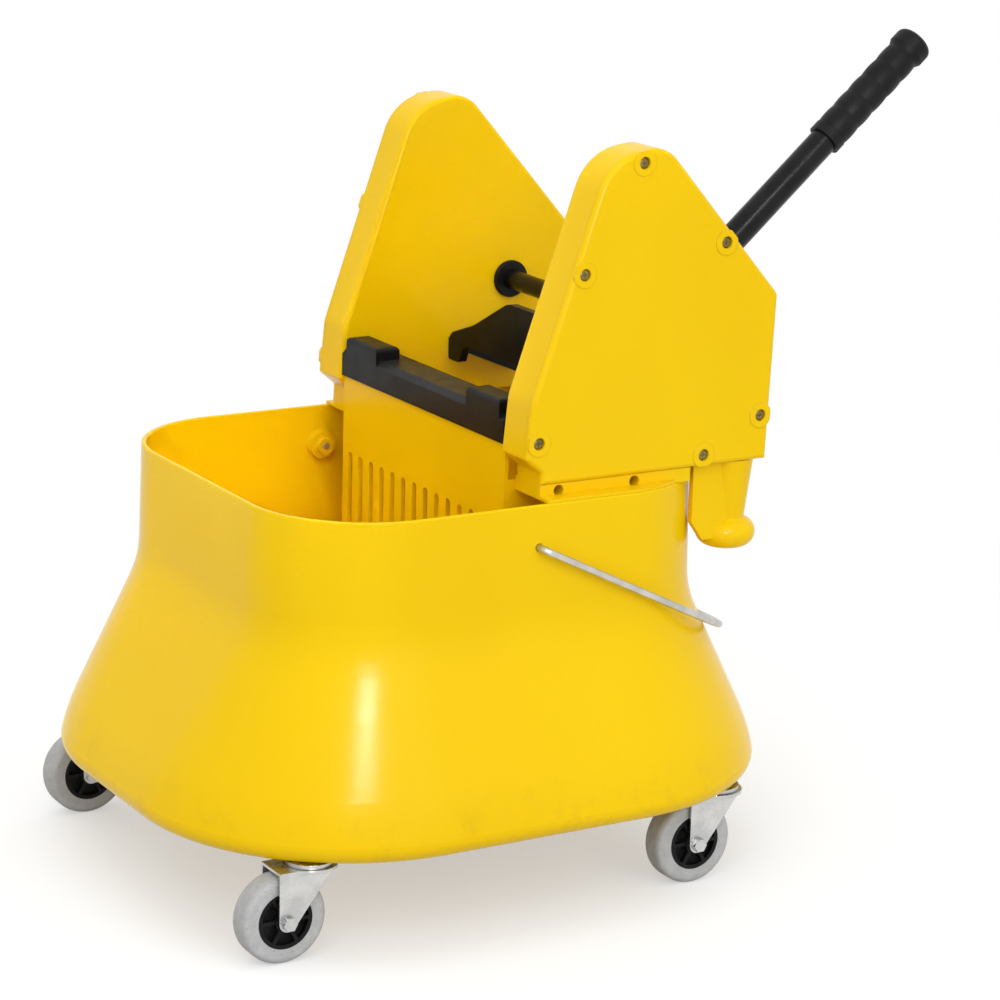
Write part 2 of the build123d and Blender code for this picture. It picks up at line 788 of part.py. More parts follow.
# Front jaw: the mop is squeezed against it
with BuildPart() as front_jaw:
    with Locations((jaw_front, 0, jaw_bottom)):
        Box(jaw_depth, 2 * throat, jaw_height, align=(Align.MIN, Align.CENTER, Align.MIN))
    chamfer(front_jaw.edges().filter_by(Axis.Y).group_by(Axis.Z)[-1].sort_by(Axis.X)[0], jaw_chamfer)
    for block_y in (-jaw_block_outer, jaw_block_inner):
        with Locations((jaw_front, block_y, jaw_bottom)):
            Box(
                jaw_block_depth,
                jaw_block_outer - jaw_block_inner,
                jaw_height + jaw_block_height,
                align=(Align.MIN, Align.MIN, Align.MIN),
            )
    fillet(front_jaw.edges().group_by(Axis.Z)[-1], jaw_block_rounding)
    for screw_x in jaw_screws_x:
        for inner, outer in ((throat - jaw_screw_length, throat), (-throat, jaw_screw_length - throat)):
            rod(screw_x, jaw_screw_z, jaw_screw_diameter / 2 + seat_gap, inner, outer, mode=Mode.SUBTRACT)
save(front_jaw, "front_jaw")

with BuildPart() as jaw_screws:
    for screw_x in jaw_screws_x:
        head_seat = throat + frame_wall
        screw_end = throat - jaw_screw_length + screw_hole_spare
        rod(screw_x, jaw_screw_z, jaw_screw_head / 2, head_seat, head_seat + jaw_screw_head_thickness)
        rod(screw_x, jaw_screw_z, jaw_screw_diameter / 2, screw_end, head_seat)
    mirror(about=Plane.XZ)
save(jaw_screws, "jaw_screws")

# Rear hanger legs: they hook behind the bucket's rounded rear corners
leg_bottom = housing_bottom - leg_length
leg_waist_z = housing_bottom - leg_waist_drop

with BuildPart() as hanger_leg_left:
    with BuildSketch(Plane.XZ):
        with BuildLine():
            Line((0, leg_bottom), (leg_foot_underside, leg_bottom))
            foot = ThreePointArc(
                (leg_foot_underside, leg_bottom),
                (leg_foot_radius, leg_bottom + leg_foot_widest),
                (leg_foot_shoulder, leg_bottom + leg_foot_height),
            )
            Polyline(
                foot @ 1,
                (leg_waist_radius, leg_waist_z),
                (leg_top_radius, housing_bottom),
                (0, housing_bottom),
                (0, leg_bottom),
            )
        make_face()
    revolve(axis=Axis.Z)
    # A web on the front of the leg, outside the bucket's corner
    with BuildSketch(side_plane(leg_web_near)):
        with BuildLine():
            Polyline(
                (0, housing_bottom),
                (-leg_web_reach, housing_bottom),
                (-leg_web_reach, housing_bottom - leg_web_drop),
                (-leg_web_low_reach, housing_bottom - leg_web_low_drop),
                (0, housing_bottom - leg_web_low_drop),
                close=True,
            )
        make_face()
    extrude(amount=leg_web_far - leg_web_near)
    with Locations((0, 0, housing_bottom - leg_screw_length)):
        Cylinder(leg_screw_diameter / 2 + seat_gap, leg_screw_length, align=from_below, mode=Mode.SUBTRACT)
hanger_leg_left.part.position = (leg_x, -leg_y, 0)
save(hanger_leg_left, "hanger_leg_left")

with BuildPart() as hanger_leg_right:
    mirror(hanger_leg_left.part, about=Plane.XZ)
save(hanger_leg_right, "hanger_leg_right")

with BuildPart() as leg_screws:
    with Locations((leg_x, -leg_y, housing_bottom + frame_wall)):
        Cylinder(leg_screw_head / 2, leg_screw_head_thickness, align=from_below)
    with Locations((leg_x, -leg_y, housing_bottom - leg_screw_length + screw_hole_spare)):
        Cylinder(leg_screw_diameter / 2, leg_screw_length - screw_hole_spare + frame_wall, align=from_below)
    mirror(about=Plane.XZ)
save(leg_screws, "leg_screws")

# Bushes in the housings' inner walls
with BuildPart() as shaft_bush_left:
    rod(shaft_x, shaft_z, bush_flange_diameter / 2, throat - bush_flange_thickness, throat)
    rod(shaft_x, shaft_z, bush_radius, throat, throat + frame_wall + bush_tail)
    rod(
        shaft_x,
        shaft_z,
        shaft_diameter / 2 + running_gap,
        throat - bush_flange_thickness,
        throat + frame_wall + bush_tail,
        mode=Mode.SUBTRACT,
    )
    fillet(shaft_bush_left.edges().group_by(Axis.Y)[-1].sort_by(SortBy.RADIUS)[-1], bush_flange_rounding)
save(shaft_bush_left, "shaft_bush_left")

with BuildPart() as shaft_bush_right:
    mirror(shaft_bush_left.part, about=Plane.XZ)
save(shaft_bush_right, "shaft_bush_right")

press_bush_in = throat - press_bush_flange_thickness
with BuildPart() as press_bush_left:
    rod(press_pivot_x, press_pivot_z, press_bush_flange_diameter / 2, press_bush_in, throat)
    rod(press_pivot_x, press_pivot_z, press_bush_radius, throat, throat + frame_wall + bush_tail)
    rod(
        press_pivot_x,
        press_pivot_z,
        stub_diameter / 2 + running_gap,
        press_bush_in,
        throat + frame_wall + bush_tail,
        mode=Mode.SUBTRACT,
    )
save(press_bush_left, "press_bush_left")

with BuildPart() as press_bush_right:
    mirror(press_bush_left.part, about=Plane.XZ)
save(press_bush_right, "press_bush_right")


# Gears
def tooth_half_angle(teeth, radius):
    """Half the angle that a tooth takes up at a radius, on an involute flank thinned by the backlash."""
    pitch_radius = gear_module * teeth / 2
    base_radius = pitch_radius * math.cos(pressure_angle)
    roll = math.acos(min(1.0, base_radius / radius))
    at_pitch = math.pi / (2 * teeth) - gear_backlash / (2 * pitch_radius)
    return at_pitch + math.tan(pressure_angle) - pressure_angle - math.tan(roll) + roll


def tooth_points(teeth, middle):
    """One tooth's outline about the gear's centre, from its right root to its left one."""
    pitch_radius = gear_module * teeth / 2
    root = pitch_radius - dedendum_factor * gear_module
    tip = pitch_radius + addendum_factor * gear_module
    flank = [root] + levels_between(pitch_radius * math.cos(pressure_angle), tip, [0, 0.4, 0.7, 1])
    right = [(radius, middle - tooth_half_angle(teeth, radius)) for radius in flank]
    left = [(radius, middle + tooth_half_angle(teeth, radius)) for radius in reversed(flank)]
    return [(radius * math.cos(angle), radius * math.sin(angle)) for radius, angle in right + left]


mesh_angle = math.atan2(shaft_z - press_pivot_z, shaft_x - press_pivot_x)
pinion_step = 2 * math.pi / pinion_teeth
sector_step = 2 * math.pi / sector_teeth

with BuildPart() as pinion_left:
    with BuildSketch(side_plane(gear_in)):
        with Locations((shaft_x, shaft_z)):
            outline = []
            for tooth in range(pinion_teeth):
                outline += tooth_points(pinion_teeth, mesh_angle + math.pi + tooth * pinion_step)
            Polygon(*outline, align=None)
    extrude(amount=gear_width)
    with BuildSketch(side_plane(gear_in)):
        with Locations((shaft_x, shaft_z)):
            cut_flat(shaft_diameter / 2, shaft_flat)
    extrude(amount=gear_width, mode=Mode.SUBTRACT)
save(pinion_left, "pinion_left")

with BuildPart() as pinion_right:
    mirror(pinion_left.part, about=Plane.XZ)
save(pinion_right, "pinion_right")

sector_in = gear_in + (gear_width - sector_width) / 2
with BuildPart() as sector_left:
    with BuildSketch(side_plane(sector_in)):
        with Locations((press_pivot_x, press_pivot_z)):
            outline = [(0, 0)]
            for tooth in range(sector_teeth_cut):
                place = tooth - sector_teeth_cut + sector_teeth_ahead + 0.5
                outline += tooth_points(sector_teeth, mesh_angle + place * sector_step)
            Polygon(*outline, align=None)
            Circle(sector_hub_radius)
    extrude(amount=sector_width)
    with BuildSketch(side_plane(sector_in)):
        with Locations((press_pivot_x, press_pivot_z)):
            cut_flat(stub_diameter / 2, stub_flat)
    extrude(amount=sector_width, mode=Mode.SUBTRACT)
save(sector_left, "sector_left")

with BuildPart() as sector_right:
    mirror(sector_left.part, about=Plane.XZ)
save(sector_right, "sector_right")

# Lever shaft, with a flat at each end for its pinion
with BuildPart() as cross_shaft:
    rod(shaft_x, shaft_z, shaft_diameter / 2, -gear_in, gear_in)
    with BuildSketch(side_plane(gear_in)):
        with Locations((shaft_x, shaft_z)):
            cut_flat(shaft_diameter / 2, shaft_flat)
    extrude(amount=shaft_end - gear_in)
    with BuildSketch(side_plane(-shaft_end)):
        with Locations((shaft_x, shaft_z)):
            cut_flat(shaft_diameter / 2, shaft_flat)
    extrude(amount=shaft_end - gear_in)
save(cross_shaft, "cross_shaft")

ring_in = shaft_end - 2 * ring_thickness
with BuildPart() as shaft_rings:
    with BuildSketch(side_plane(ring_in)):
        with Locations((shaft_x, shaft_z)):
            Circle(ring_diameter / 2)
    extrude(amount=ring_thickness)
    with BuildSketch(side_plane(ring_in)):
        with Locations((shaft_x, shaft_z)):
            cut_flat(shaft_diameter / 2, shaft_flat)
    extrude(amount=ring_thickness, mode=Mode.SUBTRACT)
    mirror(about=Plane.XZ)
save(shaft_rings, "shaft_rings")

# Return springs, between each pinion and its ring
spring_in = gear_out + passing_gap
spring_out = spring_in + spring_turns_width
spring_inner_radius = shaft_diameter / 2 + spring_bore_gap
with BuildPart() as return_spring_left:
    rod(shaft_x, shaft_z, spring_inner_radius + spring_wire, spring_in, spring_out)
    rod(shaft_x, shaft_z, spring_inner_radius, spring_in, spring_out, mode=Mode.SUBTRACT)
save(return_spring_left, "return_spring_left")

with BuildPart() as return_spring_right:
    mirror(return_spring_left.part, about=Plane.XZ)
save(return_spring_right, "return_spring_right")

# Lever: a socket clamped on the shaft, a tube and a grip
lever_direction = Vector(math.cos(math.radians(lever_angle)), 0, math.sin(math.radians(lever_angle)))
lever_plane = Plane(origin=(shaft_x, lever_y, shaft_z), x_dir=(0, 1, 0), z_dir=lever_direction)
hub_in = -lever_y - socket_hub_width / 2
hub_out = -lever_y + socket_hub_width / 2
lever_bolt_at = Vector(shaft_x, lever_y, shaft_z) + lever_direction * lever_bolt_place

with BuildPart() as handle_socket:
    rod(shaft_x, shaft_z, socket_hub_radius, hub_in, hub_out)
    with Locations(lever_plane.location):
        Cylinder(socket_radius, socket_length, align=from_below)
    with Locations(lever_plane.offset(tube_start).location):
        Cylinder(tube_diameter / 2 + seat_gap, socket_length, align=from_below, mode=Mode.SUBTRACT)
    rod(shaft_x, shaft_z, shaft_diameter / 2, hub_in, hub_out, mode=Mode.SUBTRACT)
    rod(
        lever_bolt_at.X,
        lever_bolt_at.Z,
        lever_bolt_diameter / 2 + seat_gap,
        -lever_y - 2 * socket_radius,
        -lever_y + 2 * socket_radius,
        mode=Mode.SUBTRACT,
    )
save(handle_socket, "handle_socket")

with BuildPart() as handle_tube:
    tube_length = lever_length - grip_end_wall - tube_start
    with Locations(lever_plane.offset(tube_start).location):
        Cylinder(tube_diameter / 2, tube_length, align=from_below)
        Cylinder(tube_diameter / 2 - tube_wall, tube_length, align=from_below, mode=Mode.SUBTRACT)
    rod(
        lever_bolt_at.X,
        lever_bolt_at.Z,
        lever_bolt_diameter / 2 + seat_gap,
        -lever_y - 2 * socket_radius,
        -lever_y + 2 * socket_radius,
        mode=Mode.SUBTRACT,
    )
save(handle_tube, "handle_tube")

with BuildPart() as handle_bolt:
    bolt_seat = socket_radius
    rod(
        lever_bolt_at.X,
        lever_bolt_at.Z,
        lever_bolt_diameter / 2,
        -lever_y - bolt_seat - lever_bolt_head_thickness,
        -lever_y + bolt_seat + lever_bolt_head_thickness,
    )
    for start in (-lever_y + bolt_seat, -lever_y - bolt_seat - lever_bolt_head_thickness):
        with BuildSketch(side_plane(start)):
            with Locations((lever_bolt_at.X, lever_bolt_at.Z)):
                RegularPolygon(lever_bolt_head / 2, 6, major_radius=False)
        extrude(amount=lever_bolt_head_thickness)
save(handle_bolt, "handle_bolt")

grip_start = lever_length - grip_length
grip_radius = grip_diameter / 2
scallop_start = grip_start + grip_collar_length
grip_waist = grip_radius - grip_valley
grip_end_radius = grip_end_diameter / 2
scallop_end = lever_length - grip_end_length - grip_end_slope
scallop_length = (scallop_end - scallop_start) / grip_scallops

with BuildPart() as handle_grip:
    with BuildSketch(Plane.XZ):
        with BuildLine():
            Polyline(
                (0, lever_length - grip_end_wall),
                (tube_diameter / 2, lever_length - grip_end_wall),
                (tube_diameter / 2, grip_start),
                (grip_radius, grip_start),
                (grip_radius, scallop_start - grip_valley),
                (grip_waist, scallop_start),
            )
            for scallop in range(grip_scallops):
                scallop_from = scallop_start + scallop * scallop_length
                ThreePointArc(
                    (grip_waist, scallop_from),
                    (grip_radius, scallop_from + scallop_length / 2),
                    (grip_waist, scallop_from + scallop_length),
                )
            Polyline(
                (grip_waist, scallop_end),
                (grip_end_radius, lever_length - grip_end_length),
                (grip_end_radius, lever_length - grip_end_rounding),
            )
            grip_end_centre = (grip_end_radius - grip_end_rounding, lever_length - grip_end_rounding)
            CenterArc(grip_end_centre, grip_end_rounding, 0, 90)
            Polyline(
                (grip_end_radius - grip_end_rounding, lever_length),
                (0, lever_length),
                (0, lever_length - grip_end_wall),
            )
        make_face()
    revolve(axis=Axis.Z)
handle_grip.part.location = lever_plane.location
save(handle_grip, "handle_grip")

# Press plate: a bell-shaped web on two arms that swing about the press pivot
plate_back = plate_x + plate_thickness / 2
plate_front = plate_x - plate_thickness / 2
arm_out = plate_half_width
arm_in = arm_out - arm_thickness
boss_out = press_bush_in - passing_gap
plate_base = press_pivot_z

with BuildPart() as press_plate:
    with BuildSketch(Plane.YZ.offset(plate_front)):
        with BuildLine():
            half = [
                (plate_peak_half, plate_base + plate_peak),
                (plate_shoulder_in, plate_base + plate_shoulder_high),
                (plate_half_width, plate_base + plate_end_high),
                (plate_half_width, plate_base + plate_end_low),
                (plate_arch_half + arm_thickness, plate_base + plate_end_low),
                (plate_arch_half, plate_base + plate_arch),
            ]
            other_half = [(-y, z) for y, z in reversed(half)]
            roundings = [
                plate_peak_rounding,
                plate_shoulder_rounding,
                plate_end_rounding,
                plate_foot_rounding,
                plate_foot_rounding,
                plate_arch_rounding,
            ]
            FilletPolyline(*half, *other_half, radius=roundings + roundings[::-1], close=True)
        make_face()
    extrude(amount=plate_thickness)
    # Flange along the lower edge and gussets behind the web
    with Locations((plate_back, 0, plate_base + plate_arch)):
        Box(
            plate_flange_depth,
            2 * plate_arch_half - plate_flange_thickness,
            plate_flange_thickness,
            align=(Align.MIN, Align.CENTER, Align.MIN),
        )
    for gusset_y in plate_gusset_places:
        with BuildSketch(side_plane(-gusset_y - plate_flange_thickness / 2)):
            with BuildLine():
                Polyline(
                    (plate_back, plate_base + plate_arch + plate_flange_thickness),
                    (plate_back + plate_flange_depth, plate_base + plate_arch + plate_flange_thickness),
                    (plate_back, plate_base + plate_arch + plate_gusset_height),
                    close=True,
                )
            make_face()
        extrude(amount=plate_flange_thickness)
    for arm_side in (arm_in, -arm_out):
        with BuildSketch(side_plane(arm_side)):
            with Locations((press_pivot_x, press_pivot_z)):
                Circle(arm_boss_radius)
            with Locations((plate_x, plate_base + arm_end_low)):
                arm_end_height = plate_end_high - arm_end_low - arm_top_gap
                Rectangle(plate_thickness, arm_end_height, align=(Align.CENTER, Align.MIN))
            make_hull()
        extrude(amount=arm_thickness)
    for boss_from, boss_to in ((arm_in, boss_out), (-boss_out, -arm_in)):
        rod(press_pivot_x, press_pivot_z, arm_boss_radius, boss_from, boss_to)
        rod(press_pivot_x, press_pivot_z, stub_diameter / 2, boss_from, boss_to, mode=Mode.SUBTRACT)
save(press_plate, "press_plate")

with BuildPart() as press_stub_left:
    rod(press_pivot_x, press_pivot_z, stub_diameter / 2, arm_in, sector_in)
    with BuildSketch(side_plane(sector_in)):
        with Locations((press_pivot_x, press_pivot_z)):
            cut_flat(stub_diameter / 2, stub_flat)
    extrude(amount=sector_width)
save(press_stub_left, "press_stub_left")

with BuildPart() as press_stub_right:
    mirror(press_stub_left.part, about=Plane.XZ)
save(press_stub_right, "press_stub_right")
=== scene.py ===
"""Looks for the mop bucket: its camera, studio, materials, and the coils of the springs in its housings.

Metres, in the CAD model's frame: +X is the rear, +Z is up, and the origin is on the floor under the bucket.
"""

import json
import math

import bpy
from mathutils import Matrix, Vector


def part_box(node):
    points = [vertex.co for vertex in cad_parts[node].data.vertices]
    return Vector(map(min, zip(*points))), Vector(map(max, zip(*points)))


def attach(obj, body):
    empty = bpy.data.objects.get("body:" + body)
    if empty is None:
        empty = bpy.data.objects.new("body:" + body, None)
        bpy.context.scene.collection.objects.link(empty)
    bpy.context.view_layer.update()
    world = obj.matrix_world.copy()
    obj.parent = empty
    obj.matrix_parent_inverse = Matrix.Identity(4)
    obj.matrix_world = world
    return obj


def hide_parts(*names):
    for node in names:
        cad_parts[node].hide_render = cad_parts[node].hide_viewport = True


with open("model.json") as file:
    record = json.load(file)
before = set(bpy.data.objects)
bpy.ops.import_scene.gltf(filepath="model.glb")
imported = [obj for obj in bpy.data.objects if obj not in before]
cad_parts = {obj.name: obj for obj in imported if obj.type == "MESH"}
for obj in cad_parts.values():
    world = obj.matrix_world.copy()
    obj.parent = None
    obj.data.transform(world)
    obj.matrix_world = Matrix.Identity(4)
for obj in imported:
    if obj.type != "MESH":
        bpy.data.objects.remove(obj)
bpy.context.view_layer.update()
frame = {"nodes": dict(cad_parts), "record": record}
scene = bpy.context.scene
scene.view_settings.view_transform = "Standard"


def rgb(red, green, blue):
    """A colour for a shader socket."""
    return (red, green, blue, 1.0)


# Camera, as the photograph was taken
camera_azimuth = math.radians(-30.9842)
camera_elevation = math.radians(14.8741)
camera_roll = math.radians(1.6291)
camera_distance = 2.95
camera_aim = Vector((0.11425, 0.03983, 0.29400))
camera_lens = 116.8915
camera_sensor = 36.0

# Studio
white = rgb(1.0, 1.0, 1.0)
white_level = 1.0
ambient_level = 0.88
floor_colour = rgb(0.55, 0.55, 0.55)
floor_lift = 0.45
floor_size = 14.0
floor_fade_start = 0.4
floor_fade_end = 1.3

# Lamps, with power in watts and spread in degrees: wide ones for the whole bucket, narrow ones for its inside
# walls, and streaks that show only as reflections
bucket_middle = (0.0, 0.0, 0.3)
open_spread = 180.0
lamps = {
    "key": {
        "place": (0.3, -2.8, 1.2),
        "aim": bucket_middle,
        "width": 1.8,
        "height": 1.8,
        "power": 16.0,
        "in_gloss": False,
    },
    "fill": {
        "place": (-1.7, -2.0, 2.2),
        "aim": bucket_middle,
        "width": 1.6,
        "height": 1.6,
        "power": 20.0,
        "in_gloss": False,
    },
    "top": {
        "place": (-0.5, -0.2, 2.7),
        "aim": bucket_middle,
        "width": 1.6,
        "height": 1.6,
        "power": 10.0,
        "in_gloss": False,
    },
    "well": {
        "place": (-0.02, -0.02, 1.7),
        "aim": (-0.02, 0.0, 0.1),
        "width": 0.12,
        "height": 0.12,
        "power": 0.4,
        "in_gloss": False,
        "spread": 12.0,
    },
    "well_wall": {
        "place": (-0.6, -1.6, 1.7),
        "aim": (-0.1, 0.19, 0.25),
        "width": 0.12,
        "height": 0.12,
        "power": 0.08,
        "in_gloss": False,
        "spread": 9.0,
    },
    "throat": {
        "place": (0.1, -1.5, 1.9),
        "aim": (0.12, 0.145, 0.5),
        "width": 0.12,
        "height": 0.12,
        "power": 0.032,
        "in_gloss": False,
        "spread": 7.0,
    },
    "skirt_streak": {
        "place": (-0.714, -1.933, 1.035),
        "aim": (-0.155, -0.212, 0.19),
        "width": 0.4,
        "height": 0.1,
        "power": 24.0,
        "in_matt": False,
    },
    "lever_streak": {
        "place": (-0.03, -1.76, 1.68),
        "aim": (0.35, -0.096, 0.62),
        "width": 0.35,
        "height": 0.35,
        "power": 7.0,
        "in_matt": False,
    },
}

# Yellow plastic
yellow_deep = rgb(0.835, 0.53, 0.001)
yellow_light = rgb(0.87, 0.565, 0.002)
yellow_speck = rgb(0.79, 0.46, 0.002)
yellow_rubbed = rgb(0.93, 0.68, 0.08)
yellow_grime = rgb(0.42, 0.26, 0.02)
yellow_ior = 1.2
grime_top = 0.16
grime_full = 0.085

# Black plastics, coated steel and rubber
black_deep = rgb(0.003, 0.003, 0.0035)
plastic_light = rgb(0.007, 0.0065, 0.0065)
plastic_rubbed = rgb(0.03, 0.029, 0.028)
plastic_dust = rgb(0.03, 0.028, 0.025)
plastic_ior = 1.22
dust_slope_start = 0.5
dust_slope_full = 0.95
hub_light = rgb(0.008, 0.008, 0.008)
hub_dust = rgb(0.03, 0.027, 0.024)
hub_rubbed = rgb(0.03, 0.03, 0.03)
hub_rubbed_share = 0.4
coat_light = rgb(0.007, 0.007, 0.007)
coat_knock = rgb(0.025, 0.025, 0.025)
coat_rubbed = rgb(0.06, 0.06, 0.06)
rubber_deep = rgb(0.003, 0.003, 0.003)
rubber_light = rgb(0.006, 0.006, 0.006)
rubber_dust = rgb(0.022, 0.021, 0.02)

# Tyres, with radii as shares of the tyre's box
tyre_deep = rgb(0.43, 0.435, 0.435)
tyre_light = rgb(0.5, 0.505, 0.505)
tyre_worn = rgb(0.3, 0.295, 0.29)
tyre_speck = rgb(0.16, 0.155, 0.15)
tyre_middle = (0.5, 0.5, 0.5)
tyre_plane = (1.0, 0.0, 1.0)
tread_start = 0.46
tread_full = 0.497
tyre_ring_pace = 420.0

# Metals: a dark and a light tone, a span of roughness and the pace of the streaks along each axis
metals = {
    "zinc_steel": {
        "dark": rgb(0.5, 0.505, 0.51),
        "light": rgb(0.64, 0.64, 0.635),
        "rough_low": 0.2,
        "rough_high": 0.34,
        "streak": (40, 40, 700),
    },
    "bright_wire": {
        "dark": rgb(0.5, 0.49, 0.46),
        "light": rgb(0.64, 0.63, 0.6),
        "rough_low": 0.28,
        "rough_high": 0.42,
        "streak": (60, 500, 500),
    },
    "dark_screws": {
        "dark": rgb(0.2, 0.15, 0.05),
        "light": rgb(0.32, 0.25, 0.09),
        "rough_low": 0.36,
        "rough_high": 0.54,
        "streak": (300, 300, 300),
    },
    "gear_steel": {
        "dark": rgb(0.16, 0.16, 0.165),
        "light": rgb(0.26, 0.26, 0.265),
        "rough_low": 0.3,
        "rough_high": 0.48,
        "streak": (250, 900, 250),
    },
    "spring_steel": {
        "dark": rgb(0.26, 0.26, 0.27),
        "light": rgb(0.4, 0.4, 0.41),
        "rough_low": 0.28,
        "rough_high": 0.42,
        "streak": (300, 300, 300),
    },
}
# How dark the metals turn in their corners and crevices, as a share of their dark tone
metal_corner_dark_level = 0.45
metal_edge_level = 1.15
metal_edge_share = 0.6

# Edges and corners in the finishes: an edge is where the rounded direction leaves the plain one, and a corner
# is where little of the surroundings is open
edge_samples = 4
edge_start = 0.99
edge_full = 0.8
hollow_samples = 6
hollow_start = 0.85
hollow_full = 0.25

# Return springs
springs = ("return_spring_left", "return_spring_right")
spring_wire = 0.0025
spring_turns = 2
spring_steps = 48
spring_roundness = 4


def make_camera():
    """A camera at the photograph's place, turned by its small roll."""
    forward = Vector(
        (
            -math.sin(camera_azimuth) * math.cos(camera_elevation),
            math.cos(camera_azimuth) * math.cos(camera_elevation),
            -math.sin(camera_elevation),
        )
    )
    level_right = Vector((math.cos(camera_azimuth), math.sin(camera_azimuth), 0.0))
    level_up = level_right.cross(forward)
    right = level_right * math.cos(camera_roll) + level_up * math.sin(camera_roll)
    up = level_up * math.cos(camera_roll) - level_right * math.sin(camera_roll)
    data = bpy.data.cameras.new("camera")
    data.lens = camera_lens
    data.sensor_width = camera_sensor
    camera = bpy.data.objects.new("camera", data)
    scene.collection.objects.link(camera)
    place = camera_aim - forward * camera_distance
    turn = Matrix((right, up, -forward)).transposed()
    camera.matrix_world = Matrix.Translation(place) @ turn.to_4x4()
    scene.camera = camera


def seen_directly(nodes, links):
    """One where the camera, a mirror or glass looks, and nought where light only spreads."""
    rays = nodes.new("ShaderNodeLightPath")
    seen = nodes.new("ShaderNodeMath")
    seen.operation = "ADD"
    links.new(rays.outputs["Is Camera Ray"], seen.inputs[0])
    links.new(rays.outputs["Is Glossy Ray"], seen.inputs[1])
    shown = nodes.new("ShaderNodeMath")
    shown.operation = "ADD"
    shown.use_clamp = True
    links.new(seen.outputs[0], shown.inputs[0])
    links.new(rays.outputs["Is Transmission Ray"], shown.inputs[1])
    return shown.outputs[0]


def make_world():
    """White for what the camera, mirrors and glass see, and a plain grey level of light for the rest."""
    world = bpy.data.worlds.new("studio")
    scene.world = world
    world.use_nodes = True
    nodes, links = world.node_tree.nodes, world.node_tree.links
    nodes.clear()
    ambient = nodes.new("ShaderNodeBackground")
    ambient.inputs["Color"].default_value = white
    ambient.inputs["Strength"].default_value = ambient_level
    backdrop = nodes.new("ShaderNodeBackground")
    backdrop.inputs["Color"].default_value = white
    backdrop.inputs["Strength"].default_value = white_level
    mix = nodes.new("ShaderNodeMixShader")
    links.new(seen_directly(nodes, links), mix.inputs[0])
    links.new(ambient.outputs[0], mix.inputs[1])
    links.new(backdrop.outputs[0], mix.inputs[2])
    output = nodes.new("ShaderNodeOutputWorld")
    links.new(mix.outputs[0], output.inputs["Surface"])


def make_floor():
    """A pale floor that keeps a soft shadow and fades to the white of the backdrop away from the bucket."""
    half = floor_size / 2
    corners = [(-half, -half, 0), (half, -half, 0), (half, half, 0), (-half, half, 0)]
    mesh = bpy.data.meshes.new("floor")
    mesh.from_pydata(corners, [], [(0, 1, 2, 3)])
    floor = bpy.data.objects.new("floor", mesh)
    scene.collection.objects.link(floor)
    material = bpy.data.materials.new("pale_floor")
    material.use_nodes = True
    nodes, links = material.node_tree.nodes, material.node_tree.links
    nodes.clear()
    coordinates = nodes.new("ShaderNodeTexCoord")
    reach = nodes.new("ShaderNodeVectorMath")
    reach.operation = "LENGTH"
    links.new(coordinates.outputs["Object"], reach.inputs[0])
    fade = nodes.new("ShaderNodeMapRange")
    fade.interpolation_type = "SMOOTHSTEP"
    fade.inputs["From Min"].default_value = floor_fade_start
    fade.inputs["From Max"].default_value = floor_fade_end
    links.new(reach.outputs["Value"], fade.inputs["Value"])
    seen = seen_directly(nodes, links)
    matt = nodes.new("ShaderNodeBsdfDiffuse")
    matt.inputs["Color"].default_value = floor_colour
    lift = nodes.new("ShaderNodeMath")
    lift.operation = "MULTIPLY"
    links.new(seen, lift.inputs[0])
    lift.inputs[1].default_value = floor_lift
    pale = nodes.new("ShaderNodeEmission")
    pale.inputs["Color"].default_value = white
    links.new(lift.outputs[0], pale.inputs["Strength"])
    near = nodes.new("ShaderNodeAddShader")
    links.new(matt.outputs[0], near.inputs[0])
    links.new(pale.outputs[0], near.inputs[1])
    far = nodes.new("ShaderNodeEmission")
    far.inputs["Color"].default_value = white
    far.inputs["Strength"].default_value = white_level
    share = nodes.new("ShaderNodeMath")
    share.operation = "MULTIPLY"
    links.new(fade.outputs["Result"], share.inputs[0])
    links.new(seen, share.inputs[1])
    mix = nodes.new("ShaderNodeMixShader")
    links.new(share.outputs[0], mix.inputs[0])
    links.new(near.outputs[0], mix.inputs[1])
    links.new(far.outputs[0], mix.inputs[2])
    output = nodes.new("ShaderNodeOutputMaterial")
    links.new(mix.outputs[0], output.inputs["Surface"])
    mesh.materials.append(material)


def make_lamp(name, place, aim, width, height, power, in_matt=True, in_gloss=True, spread=open_spread):
    """A soft rectangular lamp that points at a spot, and may be kept to matt light or to reflections."""
    data = bpy.data.lights.new(name, "AREA")
    data.shape = "RECTANGLE"
    data.size = width
    data.size_y = height
    data.energy = power
    data.spread = math.radians(spread)
    lamp = bpy.data.objects.new(name, data)
    scene.collection.objects.link(lamp)
    lamp.visible_diffuse = in_matt
    lamp.visible_glossy = in_gloss
    lamp.location = place
    lamp.rotation_euler = (Vector(aim) - Vector(place)).to_track_quat("-Z", "Y").to_euler()


